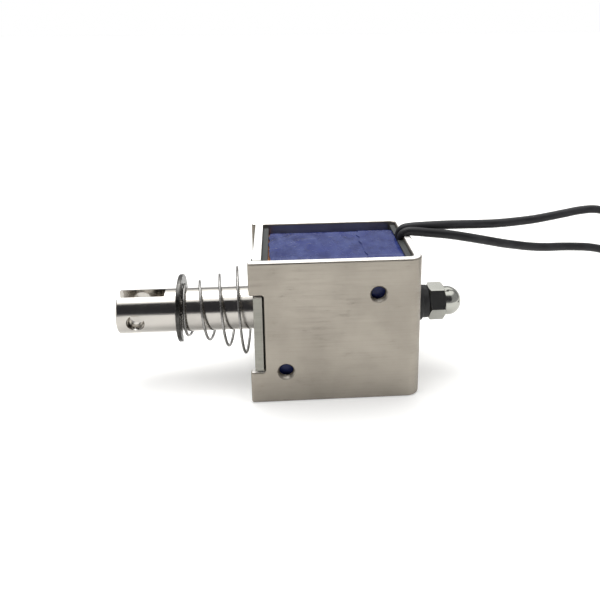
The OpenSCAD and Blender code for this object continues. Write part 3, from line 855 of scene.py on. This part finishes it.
def make_tinned(name, end, ahead, node):
    """Twisted and tinned strands that stand out of a lead's end."""
    strand_r = CORE_R / 3
    side = Vector((-ahead.y, ahead.x, 0))
    up = Vector((0, 0, 1))
    bm = bmesh.new()
    places = [(0.0, 0.0)] + [(CORE_R - strand_r, 60 * k) for k in range(6)]
    count, sides = 24, 10
    for r, start in places:
        rings = []
        for i in range(count + 1):
            t = i / count
            a = math.radians(start + 300 * t)
            taper = 1 - 0.45 * max(0.0, (t - 0.93) / 0.07)
            centre = end + ahead * (STRIP * t - 0.3 * (t == 0)) + r * taper * (
                math.cos(a) * side + math.sin(a) * up)
            rings.append([
                bm.verts.new((centre + strand_r * 1.06 * taper * (
                    math.cos(b) * side + math.sin(b) * up)) * MM)
                for b in (2 * math.pi * k / sides for k in range(sides))
            ])
        for low, high in zip(rings, rings[1:]):
            for k in range(sides):
                j = (k + 1) % sides
                bm.faces.new((low[k], low[j], high[j], high[k]))
        bm.faces.new(rings[0])
        bm.faces.new(rings[-1])
    obj = mesh_object(name, bm)
    shade(obj, 60)
    return dress(obj, "solder", "housing", node)


def make_leads():
    wound_r = 12.0
    inner, outer = wound_r - LEAD_R, wound_r + LEAD_R
    upper, upper_ahead = lead_path(UPPER_ROUTE, outer, 1.70, 15.6)
    lower, lower_ahead = lead_path(LOWER_ROUTE, inner, 1.75, 18.24)
    tip_a = make_tinned("strands_upper", upper[-1], upper_ahead, "tinned_end_upper")
    tip_b = make_tinned("strands_lower", lower[-1], lower_ahead, "tinned_end_lower")
    tie = copy_of("cable_tie", "tie_strap")
    soften(tie, 0.12, 2)
    shade(tie)
    dress(tie, "black_nylon", "housing", "cable_tie")
    make_lead("lead_upper", upper,
              ["lead_wire_upper", "lead_tail_upper", "lead_coil"])
    make_lead("lead_lower", lower,
              ["lead_wire_lower", "lead_tail_lower"])


# ---- Studio -------------------------------------------------------------------------------------


def make_floor():
    """Pale sheet under the part. It keeps the shadow and reads as white."""
    bm = bmesh.new()
    half = 2.5
    bm.faces.new([bm.verts.new((x, y, 0)) for x, y in rectangle(-half, half, -half, half)])
    floor = mesh_object("floor", bm)
    material = bpy.data.materials.new("floor")
    material.use_nodes = True
    nodes, links = material.node_tree.nodes, material.node_tree.links
    shader = nodes["Principled BSDF"]
    shader.inputs["Base Color"].default_value = (0.86, 0.855, 0.845, 1)
    shader.inputs["Roughness"].default_value = 0.9
    shader.inputs["Specular IOR Level"].default_value = 0.1
    path = nodes.new("ShaderNodeLightPath")
    seen = nodes.new("ShaderNodeMath")
    seen.operation = "MAXIMUM"
    links.new(path.outputs["Is Camera Ray"], seen.inputs[0])
    links.new(path.outputs["Is Transmission Ray"], seen.inputs[1])
    lift = nodes.new("ShaderNodeMath")
    lift.operation = "MULTIPLY_ADD"
    lift.inputs[1].default_value = 0.3
    links.new(seen.outputs[0], lift.inputs[0])
    glossy = nodes.new("ShaderNodeMath")
    glossy.operation = "MULTIPLY"
    glossy.inputs[1].default_value = 0.1
    links.new(path.outputs["Is Glossy Ray"], glossy.inputs[0])
    links.new(glossy.outputs[0], lift.inputs[2])
    shader.inputs["Emission Color"].default_value = (1, 1, 1, 1)
    links.new(lift.outputs[0], shader.inputs["Emission Strength"])
    floor.data.materials.append(material)


def make_world():
    """Studio light by direction: a broad soft light overhead with a bright core, dim walls, and a
    dark room before the part. The camera itself sees white."""
    world = bpy.data.worlds.new("studio")
    bpy.context.scene.world = world
    world.use_nodes = True
    nodes, links = world.node_tree.nodes, world.node_tree.links
    background = nodes["Background"]
    direction = nodes.new("ShaderNodeTexCoord").outputs["Generated"]

    def cone(elevation, wide, narrow):
        """1 within narrow degrees of a direction in the plane of Y and Z, 0 beyond wide."""
        a = math.radians(elevation)
        dot = nodes.new("ShaderNodeVectorMath")
        dot.operation = "DOT_PRODUCT"
        links.new(direction, dot.inputs[0])
        dot.inputs[1].default_value = (0, -math.cos(a), math.sin(a))
        span = nodes.new("ShaderNodeMapRange")
        span.interpolation_type = "SMOOTHSTEP"
        span.inputs["From Min"].default_value = math.cos(math.radians(wide))
        span.inputs["From Max"].default_value = math.cos(math.radians(narrow))
        links.new(dot.outputs["Value"], span.inputs["Value"])
        return span.outputs[0]

    def mixed(factor, a, b):
        mix = nodes.new("ShaderNodeMix")
        mix.data_type = "RGBA"
        links.new(factor, mix.inputs[0])
        for socket, value in ((6, a), (7, b)):
            if hasattr(value, "is_output"):
                links.new(value, mix.inputs[socket])
            else:
                mix.inputs[socket].default_value = (*value, 1)
        return mix.outputs[2]

    lit = mixed(cone(104, 52, 40), (0.45, 0.45, 0.455), (1.6, 1.6, 1.58))
    lit = mixed(cone(108, 14, 8), lit, (5.0, 5.0, 4.9))
    dimmed = mixed(cone(35, 34, 27), lit, (0.045, 0.045, 0.05))
    path = nodes.new("ShaderNodeLightPath")
    seen = nodes.new("ShaderNodeMath")
    seen.operation = "MAXIMUM"
    links.new(path.outputs["Is Camera Ray"], seen.inputs[0])
    links.new(path.outputs["Is Transmission Ray"], seen.inputs[1])
    links.new(mixed(seen.outputs[0], dimmed, (1, 1, 1)), background.inputs["Color"])


def make_lamp():
    """A large soft lamp above and behind, for the shadow under the part."""
    data = bpy.data.lights.new("softbox", "AREA")
    data.shape = "RECTANGLE"
    data.size, data.size_y = 0.5, 0.35
    data.energy = 1.1
    lamp = bpy.data.objects.new("softbox", data)
    lamp.location = (-0.12, 0.1, 0.5)
    aim = Vector((0, 0, AXIS_Z * MM)) - lamp.location
    lamp.rotation_euler = aim.to_track_quat("-Z", "Y").to_euler()
    bpy.context.scene.collection.objects.link(lamp)


# ---- All of it ----------------------------------------------------------------------------------

make_camera()
materials = make_materials()
make_leads()
make_frame()
make_end_plate()
make_plunger()
make_ring()
make_spring()
make_bumper()
make_nut()
make_tape()
make_bobbin()

for subpart in frame["record"]["subparts"]:
    node = frame["nodes"][subpart["node"]]
    node.data.materials.clear()
    node.data.materials.append(materials[subpart["material_slot"]])

make_floor()
make_world()
make_lamp()
bpy.context.scene.view_settings.view_transform = "Standard"
